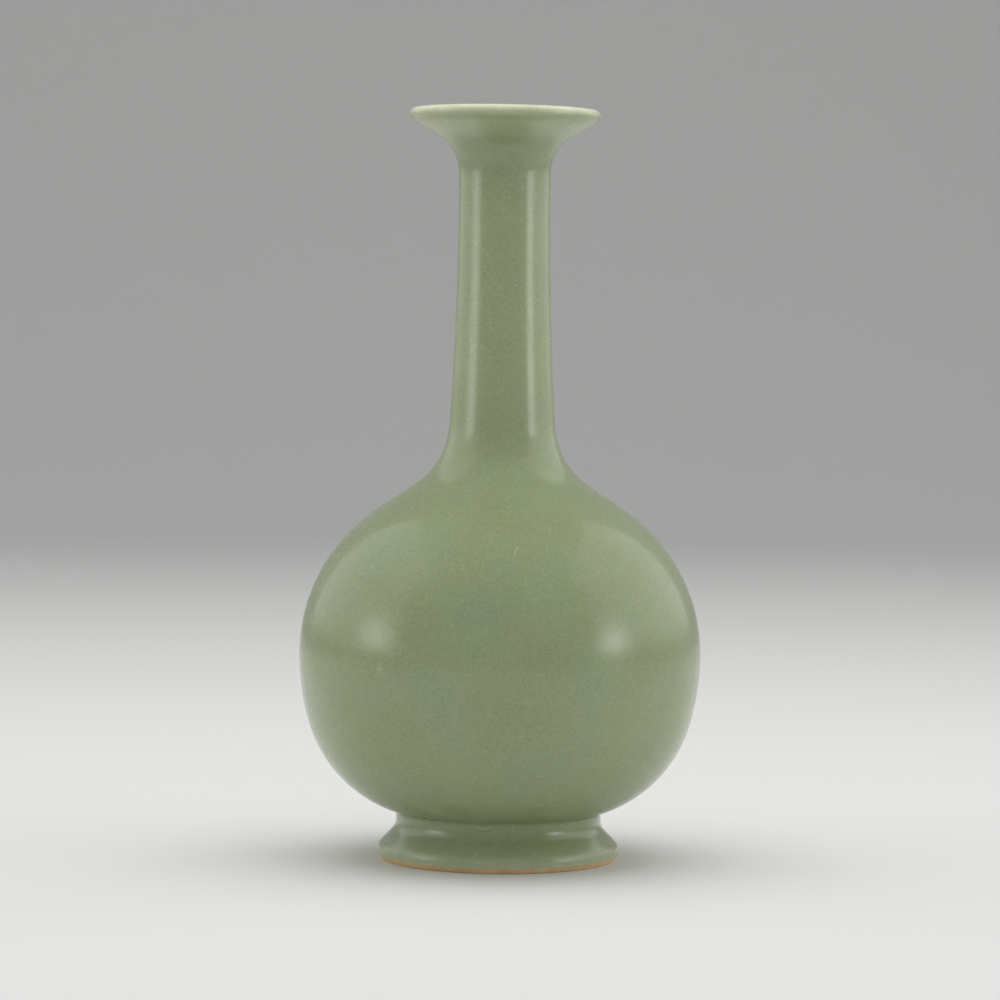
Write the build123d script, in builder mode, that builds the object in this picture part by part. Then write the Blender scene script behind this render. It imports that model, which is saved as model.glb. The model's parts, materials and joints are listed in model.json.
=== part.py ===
from build123d import *
from math import cos, radians, sin, tan
import os

# Celadon bottle vase: thrown in four sections and a foot ring, luted together with slip, glazed.
# Millimetres, +Z up, origin at the centre of the foot's contact ring.
# The outline's sizes are those of the fired clay, and the glaze adds its thickness over them.

# Overall
height = 299.4                # foot to the top of the clay lip
wall = 3.8                    # thrown wall of the body, neck and mouth
glaze = 0.6                   # thickness of the glaze, inside and out
slip_joint = 0.6              # thickness of each luting joint

# Foot ring
foot_height = 19.5            # contact ring to the middle of the joint under the body
collar_radius = 40.5          # narrowest part, just under the body
collar_length = 6.6           # joint down to where the flare's line would leave the collar
flare_width = 7.5             # how far the flare stands out from the collar
flare_edge_height = 5.4       # where the flare's line would reach its widest
foot_wall = 5.7               # wall of the ring at its top
contact_bevel = 1.8           # contact ring's outer edge, inside the flare's widest
contact_width = 5.4
glaze_line = 2.2              # the foot is bare clay below this height
collar_fillet = 7.6
flare_fillet = 3.3
groove_fillet = 2.2           # where the collar meets the body
contact_fillet = 1.2          # inner edge of the contact ring
glaze_edge_fillet = 0.4

# Body
belly_radius = 79.7
belly_height = 82.4           # height of the widest point
upper_curve_radius = 69.2
upper_curve_angle = 56.2      # degrees turned from vertical, up to the straight shoulder
lower_curve_angle = 16.4      # degrees turned from vertical, down to the tighter underside
underside_angle = 73.7        # degrees turned from vertical where the body meets the foot
floor_thickness = 5.2
floor_fillet = 18.0           # inside, where the floor turns up into the wall

# Neck
neck_waist_radius = 17.75
neck_taper = 3.95             # how much wider the neck is where the shoulder's line meets it
neck_waist_drop = 36.7        # narrowest point, below the lip
shoulder_fillet = 31.4

# Mouth
mouth_joint_drop = 27.4       # joint between the neck and the mouth, below the lip
mouth_angle = 61.5            # degrees from vertical of the dish's underside
rim_angle = 41.5              # degrees from vertical of the turned-up rim
rim_length = 2.0              # turned-up rim, before the lip's round
rim_radius = 35.6             # to the middle of the lip
mouth_fillet = 17.6
rim_fillet = 8.4


# ---- Points of the outline, as (radius, height) ----

foot_radius = collar_radius + flare_width
groove = (collar_radius, foot_height)
collar_foot = (collar_radius, foot_height - collar_length)
flare_edge = (foot_radius, flare_edge_height)
bare_edge = (foot_radius, glaze_line)
contact_outer = (foot_radius - contact_bevel, 0)
contact_inner = (foot_radius - contact_bevel - contact_width, 0)
recess_top = (collar_radius - foot_wall, foot_height + slip_joint / 2)
floor_height = recess_top[1] + floor_thickness

# Two arcs, each tangent to the next, drop from the belly to the groove.
curve_turn = radians(lower_curve_angle)
underside_turn = radians(underside_angle)
curve_in = 1 - cos(curve_turn)
curve_down = sin(curve_turn)
underside_in = cos(curve_turn) - cos(underside_turn)
underside_down = sin(underside_turn) - sin(curve_turn)
lower_curve_radius = (
    (belly_height - foot_height) * underside_in - (belly_radius - collar_radius) * underside_down
) / (curve_down * underside_in - curve_in * underside_down)

belly = (belly_radius, belly_height)
underside = (
    belly_radius - lower_curve_radius * curve_in,
    belly_height - lower_curve_radius * curve_down,
)
underside_direction = (-sin(curve_turn), -cos(curve_turn))
shoulder = (
    belly_radius - upper_curve_radius * (1 - cos(radians(upper_curve_angle))),
    belly_height + upper_curve_radius * sin(radians(upper_curve_angle)),
)
neck_foot_radius = neck_waist_radius + neck_taper
neck_foot = (
    neck_foot_radius,
    shoulder[1] + (shoulder[0] - neck_foot_radius) / tan(radians(upper_curve_angle)),
)
waist = (neck_waist_radius, height - neck_waist_drop)

# The lip is a full round on the end of the wall.
lip_radius = wall / 2
lip_height = height - lip_radius
lip_x = lip_radius * cos(radians(rim_angle))
lip_y = lip_radius * sin(radians(rim_angle))
rim_end = (rim_radius + lip_x, lip_height - lip_y)
lip_top = (rim_radius + lip_y, lip_height + lip_x)
lip_inner = (rim_radius - lip_x, lip_height + lip_y)
rim_start = (
    rim_end[0] - rim_length * sin(radians(rim_angle)),
    rim_end[1] - rim_length * cos(radians(rim_angle)),
)
mouth_start = (
    neck_waist_radius,
    rim_start[1] - (rim_start[0] - neck_waist_radius) / tan(radians(mouth_angle)),
)


def nearest(vertices, point):
    return vertices.sort_by_distance(Vector(*point))[0]


# ---- Outer line of the thrown wall, from the groove up to the lip ----

with BuildLine() as wall_line:
    TangentArc(underside, groove, tangent=underside_direction)
    JernArc(belly, (0, -1), lower_curve_radius, -lower_curve_angle)
    JernArc(belly, (0, 1), upper_curve_radius, upper_curve_angle)
    Line(shoulder, neck_foot)
    TangentArc(waist, neck_foot, tangent=(0, -1))
    Line(waist, mouth_start)
    Line(mouth_start, rim_start)
    Line(rim_start, rim_end)
    fillet(nearest(wall_line.vertices(), neck_foot), shoulder_fillet)
    fillet(nearest(wall_line.vertices(), mouth_start), mouth_fillet)
    fillet(nearest(wall_line.vertices(), rim_start), rim_fillet)

outer_line = wall_line.wires()[0]


def inside(depth):
    # The parallel to the outer line on its inner side is the one that is narrower at the belly.
    parallels = [outer_line.offset_2d(depth, side=side, closed=False) for side in (Side.LEFT, Side.RIGHT)]
    return min(parallels, key=lambda line: line.bounding_box().max.X)


inner_line = inside(wall)
middle_line = inside(wall / 2)
inner_foot = inner_line.vertices().sort_by(Axis.Y)[0].center()
middle_foot = middle_line.vertices().sort_by(Axis.Y)[0].center()
middle_end = middle_line.vertices().sort_by(Axis.Y)[-1].center()


# ---- Half sections, with the vase's axis on X = 0 ----

with BuildSketch() as cavity_section:
    with BuildLine():
        add(inner_line)
        Polyline(inner_foot, (0, inner_foot.Y), (0, lip_inner[1]), lip_inner)
    make_face()
    with Locations((0, floor_height)):
        Rectangle(belly_radius, floor_height, align=(Align.MIN, Align.MAX), mode=Mode.SUBTRACT)
    fillet(cavity_section.vertices().group_by(Axis.Y)[0].sort_by(Axis.X)[-1], floor_fillet)

with BuildSketch() as clay_section:
    with BuildLine():
        add(outer_line)
        ThreePointArc(rim_end, lip_top, lip_inner)
        Polyline(
            lip_inner,
            (0, lip_inner[1]),
            (0, recess_top[1]),
            recess_top,
            contact_inner,
            contact_outer,
            bare_edge,
            flare_edge,
            collar_foot,
            groove,
        )
    make_face()
    add(cavity_section.sketch, mode=Mode.SUBTRACT)
    # Each fillet makes the sketch anew, so the corner is looked up again for the next.
    fillet(nearest(clay_section.vertices(), groove), groove_fillet)
    fillet(nearest(clay_section.vertices(), collar_foot), collar_fillet)
    fillet(nearest(clay_section.vertices(), flare_edge), flare_fillet)
    fillet(nearest(clay_section.vertices(), contact_inner), contact_fillet)

# The glaze covers all the clay above the glaze line.
with BuildSketch() as glaze_section:
    offset(clay_section.sketch, amount=glaze)
    add(clay_section.sketch, mode=Mode.SUBTRACT)
    with Locations((0, glaze_line)):
        Rectangle(4 * foot_radius, 2 * glaze_line, align=(Align.CENTER, Align.MAX), mode=Mode.SUBTRACT)
    Rectangle(2 * glaze, 2 * height, align=(Align.MAX, Align.MIN), mode=Mode.SUBTRACT)
    glaze_edge = (foot_radius + glaze, glaze_line)
    fillet(nearest(glaze_section.vertices(), glaze_edge), glaze_edge_fillet)

# All that lies inside the middle of the wall, from the middle of the floor up past the lip.
with BuildSketch() as inner_half:
    with BuildLine():
        add(middle_line)
        Polyline(
            middle_foot,
            (0, middle_foot.Y),
            (0, height + wall),
            (middle_end.X, height + wall),
            middle_end,
        )
    make_face()

# All that lies inside the middle of the foot ring's wall, up to the middle of the floor.
with BuildSketch() as recess_half:
    with BuildLine():
        Polyline(
            (0, 0),
            ((contact_inner[0] + contact_outer[0]) / 2, 0),
            (collar_radius - foot_wall / 2, recess_top[1] + floor_thickness / 2),
            (0, recess_top[1] + floor_thickness / 2),
            close=True,
        )
    make_face()


# ---- Clay sections and the slip between them, cut level ----

foot_joint = foot_height
belly_joint = belly_height
neck_joint = neck_foot[1]
mouth_joint = height - mouth_joint_drop
half_joint = slip_joint / 2

bands = {
    "foot_ring": (0, foot_joint - half_joint),
    "foot_seam": (foot_joint - half_joint, foot_joint + half_joint),
    "lower_body": (foot_joint + half_joint, belly_joint - half_joint),
    "belly_seam": (belly_joint - half_joint, belly_joint + half_joint),
    "upper_body": (belly_joint + half_joint, neck_joint - half_joint),
    "neck_seam": (neck_joint - half_joint, neck_joint + half_joint),
    "neck": (neck_joint + half_joint, mouth_joint - half_joint),
    "mouth_seam": (mouth_joint - half_joint, mouth_joint + half_joint),
    "mouth": (mouth_joint + half_joint, height),
}

os.makedirs("parts", exist_ok=True)

for name, (low, high) in bands.items():
    with BuildPart() as ring:
        with BuildSketch(Plane.XZ):
            add(clay_section.sketch)
            with Locations((0, low)):
                Rectangle(belly_radius, high - low, align=(Align.MIN, Align.MIN), mode=Mode.INTERSECT)
        revolve(axis=Axis.Z)
    ring.part.label = name
    export_step(ring.part, f"parts/{name}.step")


# ---- Glaze ----

with BuildPart() as outer_glaze:
    with BuildSketch(Plane.XZ):
        add(glaze_section.sketch)
        add(inner_half.sketch, mode=Mode.SUBTRACT)
        add(recess_half.sketch, mode=Mode.SUBTRACT)
    revolve(axis=Axis.Z)
outer_glaze.part.label = "outer_glaze"
export_step(outer_glaze.part, "parts/outer_glaze.step")

with BuildPart() as inner_glaze:
    with BuildSketch(Plane.XZ):
        add(glaze_section.sketch)
        add(inner_half.sketch, mode=Mode.INTERSECT)
    revolve(axis=Axis.Z)
inner_glaze.part.label = "inner_glaze"
export_step(inner_glaze.part, "parts/inner_glaze.step")

with BuildPart() as base_glaze:
    with BuildSketch(Plane.XZ):
        add(glaze_section.sketch)
        add(recess_half.sketch, mode=Mode.INTERSECT)
    revolve(axis=Axis.Z)
base_glaze.part.label = "base_glaze"
export_step(base_glaze.part, "parts/base_glaze.step")
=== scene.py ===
import bmesh
import bpy
import json
import math
from mathutils import Matrix, Vector, noise


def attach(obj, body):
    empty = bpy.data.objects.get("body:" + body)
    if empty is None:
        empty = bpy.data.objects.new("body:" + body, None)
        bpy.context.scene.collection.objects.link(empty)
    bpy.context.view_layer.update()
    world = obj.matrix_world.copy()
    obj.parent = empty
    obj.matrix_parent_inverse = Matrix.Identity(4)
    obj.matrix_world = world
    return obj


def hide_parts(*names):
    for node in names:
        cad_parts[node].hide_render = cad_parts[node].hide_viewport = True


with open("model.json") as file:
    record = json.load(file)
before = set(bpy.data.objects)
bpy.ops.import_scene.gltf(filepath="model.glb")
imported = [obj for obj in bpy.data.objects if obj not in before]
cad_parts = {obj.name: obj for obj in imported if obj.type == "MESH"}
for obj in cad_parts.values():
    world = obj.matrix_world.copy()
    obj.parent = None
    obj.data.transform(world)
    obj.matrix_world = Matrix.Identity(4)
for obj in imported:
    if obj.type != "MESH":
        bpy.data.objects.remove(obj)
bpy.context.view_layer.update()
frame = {"nodes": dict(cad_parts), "record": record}
scene = bpy.context.scene
mm = 0.001
print("frame loaded:", ", ".join(sorted(frame["nodes"])))


# Camera

cameraView = {
    "distance": 1.540,      # level distance from the vase's axis
    "height": 0.216,
    "sideways": -0.0006,
    "pitch": 2.677,         # degrees below level
    "roll": 0.6,            # degrees
    "lens": 138.6,
}


def makeCamera(view):
    data = bpy.data.cameras.new("camera")
    data.lens = view["lens"]
    data.sensor_width = 36
    data.clip_start = 0.05
    camera = bpy.data.objects.new("camera", data)
    scene.collection.objects.link(camera)
    tilt = Matrix.Rotation(math.radians(90 - view["pitch"]), 4, "X")
    roll = Matrix.Rotation(math.radians(view["roll"]), 4, "Z")
    place = Matrix.Translation((view["sideways"], -view["distance"], view["height"]))
    camera.matrix_world = place @ tilt @ roll
    scene.camera = camera


makeCamera(cameraView)
print("camera placed")


# Outline tools: an outline is a chain of arcs in the XZ plane, in millimetres, joined by straight lines

coarsestTurn = 9        # degrees between points on an arc, at most
nearlyJoined = 1 / 20   # of the longest edge: arcs whose ends are closer than this meet in one point


def drawChain(bm, arcs, longest, inset=0.0):
    # an arc is centre x, centre z, radius, and from and to in degrees;
    # an inset line runs inside the wall, on the chain's left
    first = end = None
    for cx, cz, radius, start, stop in arcs:
        radius -= math.copysign(inset, stop - start)
        at = math.radians(start)
        corner = Vector((cx + radius * math.cos(at), 0, cz + radius * math.sin(at)))
        if end is None:
            first = end = bm.verts.new(corner)
        elif (corner - end.co).length < longest * nearlyJoined:
            end.co = corner
        else:
            end = extendTo(bm, end, corner)
        turn = abs(stop - start)
        byLength = math.ceil(math.radians(turn) * radius / longest)
        steps = max(math.ceil(turn / coarsestTurn), byLength)
        turned = bmesh.ops.spin(
            bm, geom=[end], cent=(cx, 0, cz), axis=(0, -1, 0), dvec=(0, 0, 0),
            angle=math.radians(stop - start), steps=steps, use_merge=False, use_duplicate=False,
        )
        end = [g for g in turned["geom_last"] if isinstance(g, bmesh.types.BMVert)][0]
    return first, end


def extendTo(bm, end, corner):
    new = bmesh.ops.extrude_vert_indiv(bm, verts=[end])["verts"][0]
    new.co = corner
    return new


def divideLong(bm, longest):
    for edge in list(bm.edges):
        cuts = int(edge.calc_length() / longest)
        if cuts > 0:
            bmesh.ops.subdivide_edges(bm, edges=[edge], cuts=cuts)


def turnOnWheel(bm, steps):
    bmesh.ops.remove_doubles(bm, verts=bm.verts, dist=0.001)
    bmesh.ops.scale(bm, vec=(mm, mm, mm), verts=bm.verts)
    bmesh.ops.spin(
        bm, geom=bm.verts[:] + bm.edges[:], cent=(0, 0, 0), axis=(0, 0, 1), dvec=(0, 0, 0),
        angle=math.tau, steps=steps, use_merge=True, use_duplicate=False,
    )
    bmesh.ops.remove_doubles(bm, verts=bm.verts, dist=1e-6)
    bmesh.ops.recalc_face_normals(bm, faces=bm.faces)


def makeObject(bm, name, material):
    for face in bm.faces:
        face.smooth = True
    mesh = bpy.data.meshes.new(name)
    bm.to_mesh(mesh)
    bm.free()
    mesh.materials.append(material)
    made = bpy.data.objects.new(name, mesh)
    scene.collection.objects.link(made)
    return made


def finishPiece(bm, name, material, slot, *nodes):
    piece = makeObject(bm, name, material)
    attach(piece, "root")
    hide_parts(*nodes)
    print(name, "made,", len(piece.data.polygons), "faces")


# Shader helpers

class Nodes:
    def __init__(self, name):
        self.material = bpy.data.materials.new(name)
        self.material.use_nodes = True
        self.tree = self.material.node_tree
        self.shader = self.tree.nodes["Principled BSDF"]
        placing = self.tree.nodes.new("ShaderNodeTexCoord")
        self.place = placing.outputs["Object"]
        self.outward = placing.outputs["Normal"]

    def add(self, kind, inputs=None, **settings):
        node = self.tree.nodes.new("ShaderNode" + kind)
        for key, value in settings.items():
            setattr(node, key, value)
        for key, value in (inputs or {}).items():
            self.feed(node.inputs[key], value)
        return node

    def feed(self, socket, value):
        if isinstance(value, bpy.types.NodeSocket):
            self.tree.links.new(value, socket)
        elif isinstance(value, tuple) and len(value) == 3 and socket.type == "RGBA":
            socket.default_value = (*value, 1)
        else:
            socket.default_value = value

    def maths(self, operation, a, b=0.0, clamp=False):
        return self.add("Math", {0: a, 1: b}, operation=operation, use_clamp=clamp).outputs[0]

    def span(self, value, low, high, toLow=0.0, toHigh=1.0):
        return self.add("MapRange", {0: value, 1: low, 2: high, 3: toLow, 4: toHigh}).outputs[0]

    def blend(self, factor, a, b, kind="MIX"):
        node = self.add("Mix", data_type="RGBA", blend_type=kind)
        self.feed(node.inputs[0], factor)
        self.feed(node.inputs[6], a)
        self.feed(node.inputs[7], b)
        return node.outputs[2]

    def noise(self, scale, detail=2.0, vector=None, roughness=0.5):
        inputs = {"Vector": vector or self.place, "Scale": scale, "Detail": detail, "Roughness": roughness}
        return self.add("TexNoise", inputs)

    def edgeDistance(self, vector, size):
        inputs = {"Vector": vector, "Scale": 1 / size}
        return self.add("TexVoronoi", inputs, feature="DISTANCE_TO_EDGE").outputs["Distance"]

    def set(self, **values):
        for key, value in values.items():
            self.feed(self.shader.inputs[key.replace("_", " ")], value)


# Studio: a pale round sweep and soft light

studio = {
    "sweep": [(2.2, 1.3, 1.3, -90, 0)],     # metres: the floor, curved up into a wall
    "sweepTop": 1.9,
    "sweepSteps": 64,
    "sweepLongest": 0.1,
    "paperColour": (0.81, 0.805, 0.79),
    "paperRoughness": 0.7,
    "worldColour": (0.96, 0.98, 1.0),
    "worldStrength": 0.27,
    "panelAzimuth": 98,         # degrees round from the camera; the side panels face each other
    "panelDistance": 1.60,
    "panelSize": (3.05, 2.70),
    "panelHeight": 1.39,
    "panelFade": 0.70,          # metres over which the front edge comes up to full light
    "footFade": 0.34,           # the same, up from the bottom edge, for the lamp too
    "leftGlow": 0.58,
    "leftLamp": (0.79, 0.24),   # metres from the front edge and from the bottom
    "rightGlow": 0.74,
    "rightLamp": (0.52, 0.24),
    "lampReach": 0.66,
    "lampGain": 5.2,
    "topHeight": 1.35,
    "topForward": 0.15,
    "topSize": (1.6, 3.0),
    "topFade": 1.6,
    "topBackFade": 1.1,
    "topGlow": 1.80,
}


def areaLight(name, place, target, size, glow, mirrored=True):
    data = bpy.data.lights.new(name, "AREA")
    data.shape = "RECTANGLE"
    data.size, data.size_y = size
    data.energy = glow * math.pi * size[0] * size[1]
    light = bpy.data.objects.new(name, data)
    light.location = place
    light.rotation_euler = (Vector(target) - Vector(place)).to_track_quat("-Z", "Y").to_euler()
    light.visible_camera = False
    light.visible_glossy = mirrored
    scene.collection.objects.link(light)
    return data


class LightCloth:
    # the cloth over a light: dark at its edges, with the lamp showing through as a soft patch
    def __init__(self, data):
        data.use_nodes = True
        self.tree = data.node_tree
        self.size = (data.size, data.size_y, 0)
        self.spot = self.node("VectorMath", "MULTIPLY")
        self.spot.inputs[1].default_value = self.size
        self.tree.links.new(self.node("NewGeometry").outputs["Parametric"], self.spot.inputs[0])
        self.strength = self.tree.nodes["Emission"].inputs["Strength"]

    def node(self, kind, operation=None):
        made = self.tree.nodes.new("ShaderNode" + kind)
        if operation:
            made.operation = operation
        return made

    def ramp(self, value, low, high, toLow, toHigh):
        made = self.node("MapRange")
        made.interpolation_type = "SMOOTHSTEP"
        for name, number in zip(("From Min", "From Max", "To Min", "To Max"), (low, high, toLow, toHigh)):
            made.inputs[name].default_value = number
        self.tree.links.new(value, made.inputs["Value"])
        return made.outputs["Result"]

    def fadeFrom(self, axis, start, stop, darkest):
        parts = self.node("SeparateXYZ")
        self.tree.links.new(self.spot.outputs[0], parts.inputs[0])
        return self.ramp(parts.outputs[axis], start, stop, darkest, 1)

    def lamp(self, centre, reach, gain):
        away = self.node("VectorMath", "DISTANCE")
        away.inputs[1].default_value = (*centre, 0)
        self.tree.links.new(self.spot.outputs[0], away.inputs[0])
        return self.ramp(away.outputs["Value"], 0, reach, gain, 0)

    def combine(self, operation, a, b):
        both = self.node("Math", operation)
        self.tree.links.new(a, both.inputs[0])
        self.tree.links.new(b, both.inputs[1])
        return both.outputs[0]

    def cover(self, glow):
        self.tree.links.new(glow, self.strength)


def makeStudio(kit):
    bm = bmesh.new()
    start = bm.verts.new((0, 0, 0))
    first, end = drawChain(bm, kit["sweep"], kit["sweepLongest"])
    bm.edges.new((start, first))
    extendTo(bm, end, (end.co.x, 0, kit["sweepTop"]))
    bmesh.ops.spin(
        bm, geom=bm.verts[:] + bm.edges[:], cent=(0, 0, 0), axis=(0, 0, 1), dvec=(0, 0, 0),
        angle=math.tau, steps=kit["sweepSteps"], use_merge=True, use_duplicate=False,
    )
    bmesh.ops.remove_doubles(bm, verts=bm.verts, dist=1e-5)
    bmesh.ops.recalc_face_normals(bm, faces=bm.faces)
    paper = Nodes("palePaper")
    paper.set(Base_Color=kit["paperColour"], Roughness=kit["paperRoughness"])
    makeObject(bm, "floor", paper.material)
    world = bpy.data.worlds.new("softRoom")
    world.use_nodes = True
    sky = world.node_tree.nodes["Background"]
    sky.inputs["Color"].default_value = (*kit["worldColour"], 1)
    sky.inputs["Strength"].default_value = kit["worldStrength"]
    scene.world = world
    turn = math.radians(kit["panelAzimuth"])
    width, tall = kit["panelSize"]
    for name, side in (("left", -1), ("right", 1)):
        distance = kit["panelDistance"]
        place = (side * distance * math.sin(turn), -distance * math.cos(turn), kit["panelHeight"])
        target = (0, 0, kit["panelHeight"])
        data = areaLight(name + "Panel", place, target, kit["panelSize"], kit[name + "Glow"])
        cloth = LightCloth(data)
        front = 0 if side > 0 else width
        fade = cloth.fadeFrom(0, front, front + side * kit["panelFade"], 0.0)
        rise = cloth.fadeFrom(1, 0, kit["footFade"], 0.0)
        across, up = kit[name + "Lamp"]
        lamp = cloth.lamp((front + side * across, up), kit["lampReach"], kit["lampGain"])
        cloth.cover(cloth.combine("MULTIPLY", cloth.combine("ADD", fade, lamp), rise))
    # mirrored in the shoulder, the top panel would show the neck as a dark patch
    place = (0, -kit["topForward"], kit["topHeight"])
    below = (0, -kit["topForward"], 0)
    top = LightCloth(areaLight("topPanel", place, below, kit["topSize"], kit["topGlow"], mirrored=False))
    back = kit["topSize"][1]
    fade = top.fadeFrom(1, 0, kit["topFade"], 0.0)
    top.cover(top.combine("MULTIPLY", fade, top.fadeFrom(1, back, back - kit["topBackFade"], 0.0)))
    scene.view_settings.view_transform = "Standard"


makeStudio(studio)
print("studio ready")


# Celadon glaze

glazeFinish = {
    "body": (0.276, 0.338, 0.180),
    "olive": (0.264, 0.308, 0.152),
    "grey": (0.248, 0.318, 0.186),
    # a dark glaze colour, for pooled glaze and for painted shade
    "shadedPoolColour": (0.120, 0.165, 0.072),
    # pale thin glaze; on the lip top it is also a painted highlight from the light above
    "thinGlazeAndLitLip": (0.800, 0.800, 0.580),
    "crackPale": (0.430, 0.490, 0.270),
    "crackDark": (0.120, 0.172, 0.078),
    # noise scale, and the noise between which the second colour comes in
    "oliveCloud": (26, 0.40, 0.66),
    "greyCloud": (34, 0.48, 0.70),
    "greyDepth": 0.8,
    "speckScale": 1300,
    "paleSpecks": 0.22,
    "darkSpecks": 0.20,
    "crackBendScale": 30,
    "crackBend": 3 * mm,
    # cell size, half width of a line, strength, and how much the cells lie flat
    "crackle": [
        (2.4 * mm, 0.11 * mm, 0.38, 1.0),
        (4.2 * mm, 0.13 * mm, 0.48, 1.1),
        (8.0 * mm, 0.15 * mm, 0.62, 1.2),
        (15.0 * mm, 0.16 * mm, 0.72, 1.3),
    ],
    "slopeStep": 0.04,                  # of a cell, out along the surface's normal
    "shallowest": 0.02,
    "crackFade": (0.08, 0.35),
    "crackEdge": 2.2,                   # the dark edge's reach, in half widths
    "crackEdgeDepth": 0.75,
    "lipStart": 294.6 * mm,
    "lipTop": 299.3 * mm,
    "lipCurve": 1.6,
    # heights over which the glaze gets thinner, and how thin it ends
    "footThin": (3.1 * mm, 2.2 * mm, 0.40),
    "flareThin": (16 * mm, 4 * mm, 0.20),
    "neckThin": (150 * mm, 200 * mm, 0.08),
    # heights between which the glaze is darkened, and how dark it gets there: partly glaze pooled in the
    # hollows, partly painted shade under the flaring mouth and in the groove under the belly
    "shadedPoolBands": [(272 * mm, 286 * mm, 292 * mm, 0.45), (15 * mm, 18.5 * mm, 24 * mm, 0.10)],
    "peelScale": 420,
    "bumpStrength": 0.07,
    "bumpDistance": 0.4 * mm,
    "gloss": (0.20, 0.28),
    "index": 1.5,
    "coat": (0.3, 0.03),
}


def cracks(n, finish, size, width, strength, flat, bent):
    # one network: how much of its pale lines, and of their dark edges, is at each place
    spot = {"Vector": bent, "Scale": (1, 1, flat), "Location": (size, 0, 2 * size)}
    laid = n.add("Mapping", spot).outputs[0]
    away = n.edgeDistance(laid, size)
    # a crack that lies nearly flat in the surface would spread into a blot,
    # so it is drawn finer and fades out
    step = finish["slopeStep"]
    reach = size * step
    outward = {0: n.outward, 1: (reach, reach, reach * flat)}
    step3d = n.add("VectorMath", outward, operation="MULTIPLY").outputs[0]
    above = n.add("VectorMath", {0: laid, 1: step3d}, operation="ADD").outputs[0]
    slope = n.maths("DIVIDE", n.maths("SUBTRACT", n.edgeDistance(above, size), away), step)
    squared = n.maths("POWER", n.maths("ABSOLUTE", slope), 2.0)
    level = n.maths("MAXIMUM", n.maths("SUBTRACT", 1.0, squared), finish["shallowest"])
    away = n.maths("DIVIDE", away, n.maths("SQRT", level))
    half = width / size
    patch = n.span(n.noise(0.35 / size, 2, laid).outputs["Fac"], 0.36, 0.60, 0.15, strength)
    patch = n.maths("MULTIPLY", patch, n.span(level, *finish["crackFade"]))
    line = n.span(away, 0.4 * half, half, 1.0, 0.0)
    rim = n.span(away, half, finish["crackEdge"] * half, 1.0, 0.0)
    edge = n.maths("SUBTRACT", rim, line, clamp=True)
    return n.maths("MULTIPLY", line, patch), n.maths("MULTIPLY", edge, patch)


def celadonGlaze(finish):
    n = Nodes("celadonGlaze")
    height = n.add("SeparateXYZ", {0: n.place}).outputs["Z"]
    scale, low, high = finish["oliveCloud"]
    colour = n.blend(n.span(n.noise(scale, 3).outputs["Fac"], low, high), finish["body"], finish["olive"])
    scale, low, high = finish["greyCloud"]
    shifted = n.add("Mapping", {"Vector": n.place, "Location": (0.3, 0.1, 0.2)}).outputs[0]
    cloud = n.span(n.noise(scale, 3, shifted).outputs["Fac"], low, high, 0.0, finish["greyDepth"])
    colour = n.blend(cloud, colour, finish["grey"])
    # bubbles and specks in the glaze
    speck = n.noise(finish["speckScale"], 2).outputs["Fac"]
    colour = n.blend(n.span(speck, 0.50, 0.72, 0.0, finish["paleSpecks"]), colour, finish["crackPale"])
    colour = n.blend(n.span(speck, 0.50, 0.28, 0.0, finish["darkSpecks"]), colour, finish["crackDark"])
    # crackle: pale lines with a dark edge, in four sizes of cell
    bend = n.noise(finish["crackBendScale"], 2).outputs["Color"]
    bend = n.add("VectorMath", {0: bend, 1: (0.5, 0.5, 0.5)}, operation="SUBTRACT").outputs[0]
    bend = n.add("VectorMath", {0: bend, 3: finish["crackBend"]}, operation="SCALE").outputs[0]
    bent = n.add("VectorMath", {0: n.place, 1: bend}, operation="ADD").outputs[0]
    pale = dark = 0.0
    for network in finish["crackle"]:
        line, edge = cracks(n, finish, *network, bent)
        pale = n.maths("MAXIMUM", pale, line)
        dark = n.maths("MAXIMUM", dark, edge)
    colour = n.blend(n.maths("MULTIPLY", dark, finish["crackEdgeDepth"]), colour, finish["crackDark"])
    colour = n.blend(pale, colour, finish["crackPale"])
    # painted shade: darker bands under the flaring mouth and in the groove under the belly, partly also
    # glaze pooled there
    for start, deepest, stop, depth in finish["shadedPoolBands"]:
        shadeAndPool = n.maths("MINIMUM", n.span(height, start, deepest), n.span(height, stop, deepest))
        colour = n.blend(n.maths("MULTIPLY", shadeAndPool, depth), colour, finish["shadedPoolColour"])
    # the glaze runs thin over the lip, on the foot and a little on the neck, and is paler there; over the
    # lip the pale colour is also a painted highlight from the light above
    lip = n.maths("POWER", n.span(height, finish["lipStart"], finish["lipTop"]), finish["lipCurve"])
    foot, flare, neck = (
        n.span(height, start, stop, 0.0, most)
        for start, stop, most in (finish["footThin"], finish["flareThin"], finish["neckThin"])
    )
    thinGlazeAndLitLip = n.maths("MAXIMUM", lip, n.maths("ADD", foot, n.maths("ADD", flare, neck)))
    uneven = n.span(n.noise(160, 2).outputs["Fac"], 0.2, 0.8, 0.75, 1.15)
    colour = n.blend(n.maths("MULTIPLY", thinGlazeAndLitLip, uneven), colour, finish["thinGlazeAndLitLip"])
    peel = n.maths("MULTIPLY", n.noise(finish["peelScale"], 2).outputs["Fac"], 0.5)
    relief = n.maths("SUBTRACT", peel, n.maths("MULTIPLY", pale, 0.9))
    depth = {"Strength": finish["bumpStrength"], "Distance": finish["bumpDistance"], "Height": relief}
    gloss = n.span(n.noise(90, 2).outputs["Fac"], 0.3, 0.7, *finish["gloss"])
    coat, coatRoughness = finish["coat"]
    n.set(Base_Color=colour, Roughness=gloss, Normal=n.add("Bump", depth).outputs[0])
    n.set(IOR=finish["index"], Coat_Weight=coat, Coat_Roughness=coatRoughness)
    return n.material


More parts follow.
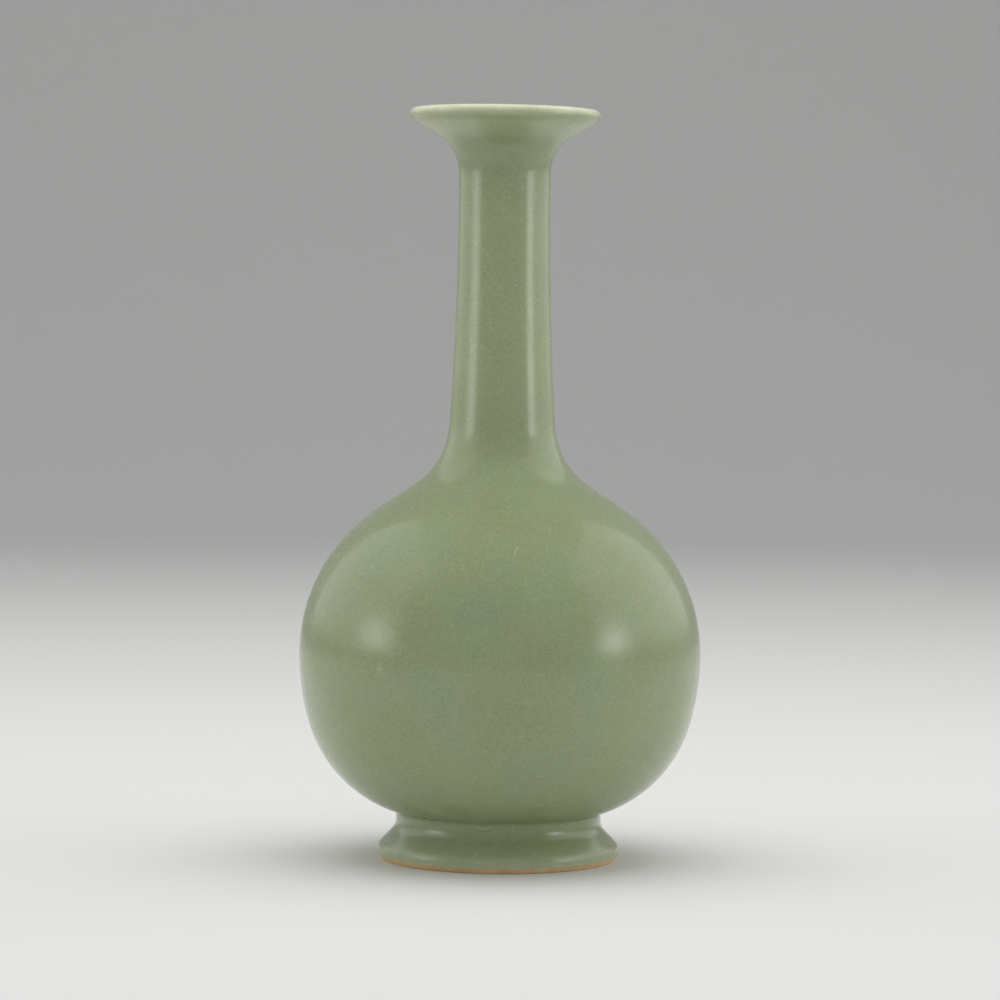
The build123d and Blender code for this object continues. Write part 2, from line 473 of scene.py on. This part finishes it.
clayFinish = {
    "dark": (0.78, 0.56, 0.26),
    "pale": (0.92, 0.74, 0.44),
    "grit": (0.40, 0.22, 0.10),
    "gritScale": 2200,
    "roughness": (0.75, 0.92),
    "bumpStrength": 0.35,
    "bumpDistance": 0.3 * mm,
}

slipFinish = {
    "dark": (0.50, 0.40, 0.28),
    "pale": (0.66, 0.56, 0.42),
    "roughness": 0.85,
}


def bareClay(finish):
    n = Nodes("bareClay")
    mottle = n.span(n.noise(120, 4).outputs["Fac"], 0.3, 0.7)
    colour = n.blend(mottle, finish["dark"], finish["pale"])
    grit = n.noise(finish["gritScale"], 3).outputs["Fac"]
    colour = n.blend(n.span(grit, 0.38, 0.7, 0.0, 0.5), colour, finish["grit"])
    depth = {"Strength": finish["bumpStrength"], "Distance": finish["bumpDistance"], "Height": grit}
    roughness = n.span(grit, 0.3, 0.7, *finish["roughness"])
    n.set(Base_Color=colour, Roughness=roughness, Normal=n.add("Bump", depth).outputs[0])
    return n.material


def firedSlip(finish):
    n = Nodes("firedSlip")
    colour = n.blend(n.noise(300, 3).outputs["Fac"], finish["dark"], finish["pale"])
    n.set(Base_Color=colour, Roughness=finish["roughness"])
    return n.material


glazeMaterial = celadonGlaze(glazeFinish)
clayMaterial = bareClay(clayFinish)
slipMaterial = firedSlip(slipFinish)
print("materials mixed")


# Glaze over the outside, the lip and the inside, one skin

glazeShape = {
    "thickness": 0.6,
    "steps": 168,
    "longest": 2.5,
    "floorCentre": 25.6,
    "mouthTilt": 0.45,              # degrees, lower on the right
    "mouthTiltFrom": (268, 294),    # heights over which the tilt comes in
    "outline": [
        (48.0, 2.8, 0.6, -90, 0),                    # rolled edge above the bare foot
        (44.7, 4.033, 3.9, 0, 45),                   # flare
        (48.1, 16.048, 7.0, 225, 180),               # collar
        (42.7, 17.878, 1.6, 180, 108.055),           # groove under the body
        (25.943, 69.282, 52.467, -71.945, -16.4),   # underside
        (-18.628, 82.4, 98.928, -16.4, 0),
        (10.5, 82.4, 69.8, 0, 56.2),                # belly
        (51.948, 175.714, 30.8, 236.2, 183.685),    # shoulder
        (1402.644, 262.7, 1384.294, 183.685, 180),  # neck
        (35.35, 274.527, 17.0, 180, 118.5),         # mouth
        (30.388, 301.418, 9.0, -61.5, -41.5),
        (35.6, 297.5, 2.5, -41.5, 138.5),           # lip
        (30.388, 301.418, 4.0, -41.5, -61.5),
        (35.35, 274.527, 22.0, 118.5, 180),
        (1402.644, 262.7, 1389.294, 180, 183.685),
        (51.948, 175.714, 35.8, 183.685, 236.2),
        (10.5, 82.4, 64.8, 56.2, 0),
        (-18.628, 82.4, 93.928, 0, -16.4),
        (25.943, 69.282, 47.467, -16.4, -60.941),
        (40.546, 43.0, 17.4, -60.941, -90),          # floor
    ],
}


def makeGlazeSkin(shape):
    bm = bmesh.new()
    edge, end = drawChain(bm, shape["outline"], shape["longest"])
    extendTo(bm, end, (0, 0, shape["floorCentre"]))
    under, end = drawChain(bm, shape["outline"][1:], 2 * shape["longest"], shape["thickness"])
    extendTo(bm, end, (0, 0, shape["floorCentre"] - shape["thickness"]))
    extendTo(bm, under, edge.co)
    divideLong(bm, 2 * shape["longest"])
    turnOnWheel(bm, shape["steps"])
    # thrown by hand, the mouth sits a touch lower on one side
    low, high = shape["mouthTiltFrom"]
    for vert in bm.verts:
        share = min(1, max(0, (vert.co.z / mm - low) / (high - low)))
        eased = share * share * (3 - 2 * share)
        vert.co.z -= vert.co.x * math.tan(math.radians(shape["mouthTilt"])) * eased
    finishPiece(bm, "glazeSkin", glazeMaterial, "celadon_glaze", "outer_glaze", "inner_glaze")


makeGlazeSkin(glazeShape)


# Foot ring, bare below the glaze

footShape = {
    "steps": 256,
    "longest": 1.0,
    "joint": 19.2,
    "roughness": 0.12,
    "roughBelow": (1.6, 2.2),       # heights over which the bare clay's roughness fades out
    "coarseGrain": 4,
    "fineGrain": 1.3,
    "fineShare": 0.6,
    "restsBelow": 0.05,
    "outline": [
        (34.98, 19.1, 0.1, 90, 180),
        (41.688, 1.2, 1.2, 196.86, 270),
        (45.9, 0.7, 0.7, -90, -39),
        (47.3, 2.5, 0.7, -39, 0),
        (44.7, 4.033, 3.3, 0, 45),
        (48.1, 16.048, 7.6, 225, 180),
        (40.4, 19.1, 0.1, 0, 90),
    ],
}


def makeFootRing(shape):
    bm = bmesh.new()
    first, end = drawChain(bm, shape["outline"], shape["longest"])
    extendTo(bm, end, first.co)
    divideLong(bm, shape["longest"])
    turnOnWheel(bm, shape["steps"])
    full, none = shape["roughBelow"]
    for vert in bm.verts:
        bare = 1 - min(1, max(0, (vert.co.z / mm - full) / (none - full)))
        if bare > 0 and vert.co.z > shape["restsBelow"] * mm:
            coarse = noise.noise(vert.co / (shape["coarseGrain"] * mm))
            fine = noise.noise(vert.co / (shape["fineGrain"] * mm))
            push = coarse + shape["fineShare"] * fine
            vert.co += vert.normal * (push * bare * shape["roughness"] * mm)
            vert.co.z = max(vert.co.z, 0)
    finishPiece(bm, "footRing", clayMaterial, "biscuit_clay", "foot_ring")


makeFootRing(footShape)


# Glaze under the floor, inside the foot ring

baseShape = {
    "steps": 160,
    "longest": 2.5,
    "centre": 19.2,
    "lowEdge": (40.13, 2.2),
    "topEdge": (34.8, 19.8),
    "outline": [
        (31.3, 15.7, 3.5, 90, 16.85),
        (39.59, 2.7, 0.5, 196.85, 270),
    ],
}


def makeBaseGlaze(shape):
    bm = bmesh.new()
    first, end = drawChain(bm, shape["outline"], shape["longest"])
    extendTo(bm, first, (0, 0, shape["centre"]))
    edgeX, edgeZ = shape["lowEdge"]
    topX, topZ = shape["topEdge"]
    corner = extendTo(bm, extendTo(bm, end, (edgeX, 0, edgeZ)), (topX, 0, topZ))
    extendTo(bm, corner, (0, 0, topZ))
    divideLong(bm, shape["longest"])
    turnOnWheel(bm, shape["steps"])
    finishPiece(bm, "baseGlaze", glazeMaterial, "celadon_glaze", "base_glaze")


makeBaseGlaze(baseShape)


# The clay sections and the slip between them keep their own shapes

slotMaterials = {"celadon_glaze": glazeMaterial, "biscuit_clay": clayMaterial, "slip": slipMaterial}
for part in frame["record"]["subparts"]:
    node = frame["nodes"][part["node"]]
    for place in node.material_slots:
        place.material = slotMaterials[part["material_slot"]]
print("clay and slip finished")
